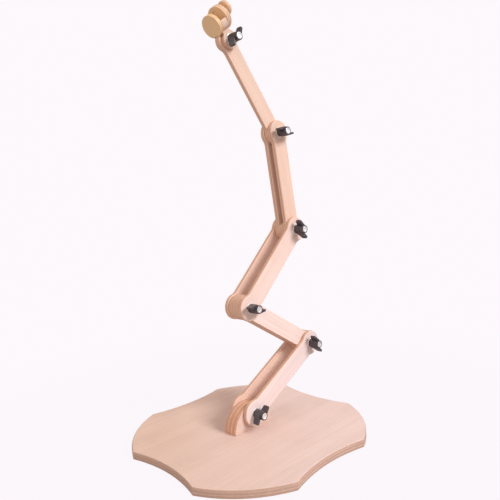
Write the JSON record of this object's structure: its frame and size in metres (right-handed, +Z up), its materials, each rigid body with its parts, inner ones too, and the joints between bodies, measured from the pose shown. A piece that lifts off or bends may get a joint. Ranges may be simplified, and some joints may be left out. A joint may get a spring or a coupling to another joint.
{
  "type": "jointed posing stand",
  "caption": "Jointed plywood arm on a scalloped base, with hand knobs at each pivot and a screw clamp at its tip, for posing and holding a small item.",
  "frame": {"origin": "centre of the base board's underside", "axes": "+Z up, +X along the plane the arm folds in, towards its second pivot, and +Y along the pivots, away from the hand knobs"},
  "size_m": [0.2498, 0.2498, 0.4964],
  "materials": {
    "pale_ply": "pale fine-grained plywood, sanded, bare or matt sealed",
    "core_ply": "thicker multi-layer plywood, sanded, with layered edges",
    "tan_ply": "yellower plywood with darker edges, matt",
    "zinc_steel": "bright zinc plating, satin",
    "black_plastic": "black moulded nylon, slightly textured"
  },
  "bodies": {
    "base": {"base_plate": "pale_ply", "post": "core_ply", "post_screws": "zinc_steel"},
    "link_1": {"link_1_front_cheek": "pale_ply", "link_1_rear_cheek": "pale_ply", "joint_1_bolt": "zinc_steel", "joint_1_rear_washer": "zinc_steel", "joint_1_front_washer": "zinc_steel", "joint_2_bolt": "zinc_steel", "joint_2_rear_washer": "zinc_steel", "joint_2_front_washer": "zinc_steel"},
    "link_2": {"link_2_bar": "core_ply"},
    "link_3": {"link_3_front_cheek": "pale_ply", "link_3_rear_cheek": "pale_ply", "joint_3_bolt": "zinc_steel", "joint_3_rear_washer": "zinc_steel", "joint_3_front_washer": "zinc_steel", "joint_4_bolt": "zinc_steel", "joint_4_rear_washer": "zinc_steel", "joint_4_front_washer": "zinc_steel"},
    "link_4": {"link_4_front_cheek": "pale_ply", "link_4_rear_cheek": "pale_ply", "link_4_spacer": "core_ply", "joint_5_bolt": "zinc_steel", "joint_5_rear_washer": "zinc_steel", "joint_5_front_washer": "zinc_steel"},
    "link_5": {"link_5_bar": "pale_ply"},
    "head": {"head_front_cheek": "pale_ply", "head_rear_cheek": "pale_ply", "head_spacer": "core_ply", "head_front_pad": "core_ply", "head_rear_pad": "core_ply", "left_jaw": "tan_ply", "right_jaw": "tan_ply", "joint_6_bolt": "zinc_steel", "joint_6_rear_washer": "zinc_steel", "joint_6_front_washer": "zinc_steel"},
    "clamp_screw": {"clamp_rod": "tan_ply", "clamp_knob": "tan_ply"},
    "knob_1": {"joint_1_knob": "black_plastic", "joint_1_knob_insert": "zinc_steel"},
    "knob_2": {"joint_2_knob": "black_plastic", "joint_2_knob_insert": "zinc_steel"},
    "knob_3": {"joint_3_knob": "black_plastic", "joint_3_knob_insert": "zinc_steel"},
    "knob_4": {"joint_4_knob": "black_plastic", "joint_4_knob_insert": "zinc_steel"},
    "knob_5": {"joint_5_knob": "black_plastic", "joint_5_knob_insert": "zinc_steel"},
    "knob_6": {"joint_6_knob": "black_plastic", "joint_6_knob_insert": "zinc_steel"}
  },
  "joints": [
    {"name": "arm_pivot_1", "type": "hinge", "parent": "base", "child": "link_1", "pos_m": [0, 0, 0.028], "axis": [0, 1, 0], "range_deg": [-70, 25]},
    {"name": "arm_pivot_2", "type": "hinge", "parent": "link_1", "child": "link_2", "pos_m": [0.10475, 0, 0.08654], "axis": [0, -1, 0], "range_deg": [-90, 30]},
    {"name": "arm_pivot_3", "type": "hinge", "parent": "link_2", "child": "link_3", "pos_m": [0.00377, 0, 0.15137], "axis": [0, 1, 0], "range_deg": [-75, 30]},
    {"name": "arm_pivot_4", "type": "hinge", "parent": "link_3", "child": "link_4", "pos_m": [0.08994, 0, 0.23488], "axis": [0, -1, 0], "range_deg": [-60, 60]},
    {"name": "arm_pivot_5", "type": "hinge", "parent": "link_4", "child": "link_5", "pos_m": [0.07615, 0, 0.35409], "axis": [0, -1, 0], "range_deg": [-60, 75]},
    {"name": "arm_pivot_6", "type": "hinge", "parent": "link_5", "child": "head", "pos_m": [0.0087, 0, 0.45334], "axis": [0, -1, 0], "range_deg": [-60, 50]},
    {"name": "knob_1_turn", "type": "hinge", "parent": "link_1", "child": "knob_1", "pos_m": [0, 0, 0.028], "axis": [0, -1, 0], "continuous": true},
    {"name": "knob_2_turn", "type": "hinge", "parent": "link_1", "child": "knob_2", "pos_m": [0.10475, 0, 0.08654], "axis": [0, -1, 0], "continuous": true},
    {"name": "knob_3_turn", "type": "hinge", "parent": "link_3", "child": "knob_3", "pos_m": [0.00377, 0, 0.15137], "axis": [0, -1, 0], "continuous": true},
    {"name": "knob_4_turn", "type": "hinge", "parent": "link_3", "child": "knob_4", "pos_m": [0.08994, 0, 0.23488], "axis": [0, -1, 0], "continuous": true},
    {"name": "knob_5_turn", "type": "hinge", "parent": "link_4", "child": "knob_5", "pos_m": [0.07615, 0, 0.35409], "axis": [0, -1, 0], "continuous": true},
    {"name": "knob_6_turn", "type": "hinge", "parent": "head", "child": "knob_6", "pos_m": [0.0087, 0, 0.45334], "axis": [0, -1, 0], "continuous": true},
    {"name": "clamp_screw_travel", "type": "slide", "parent": "head", "child": "clamp_screw", "axis": [-0.809, 0, -0.5878], "range_m": [0, 0.007]}
  ]
}
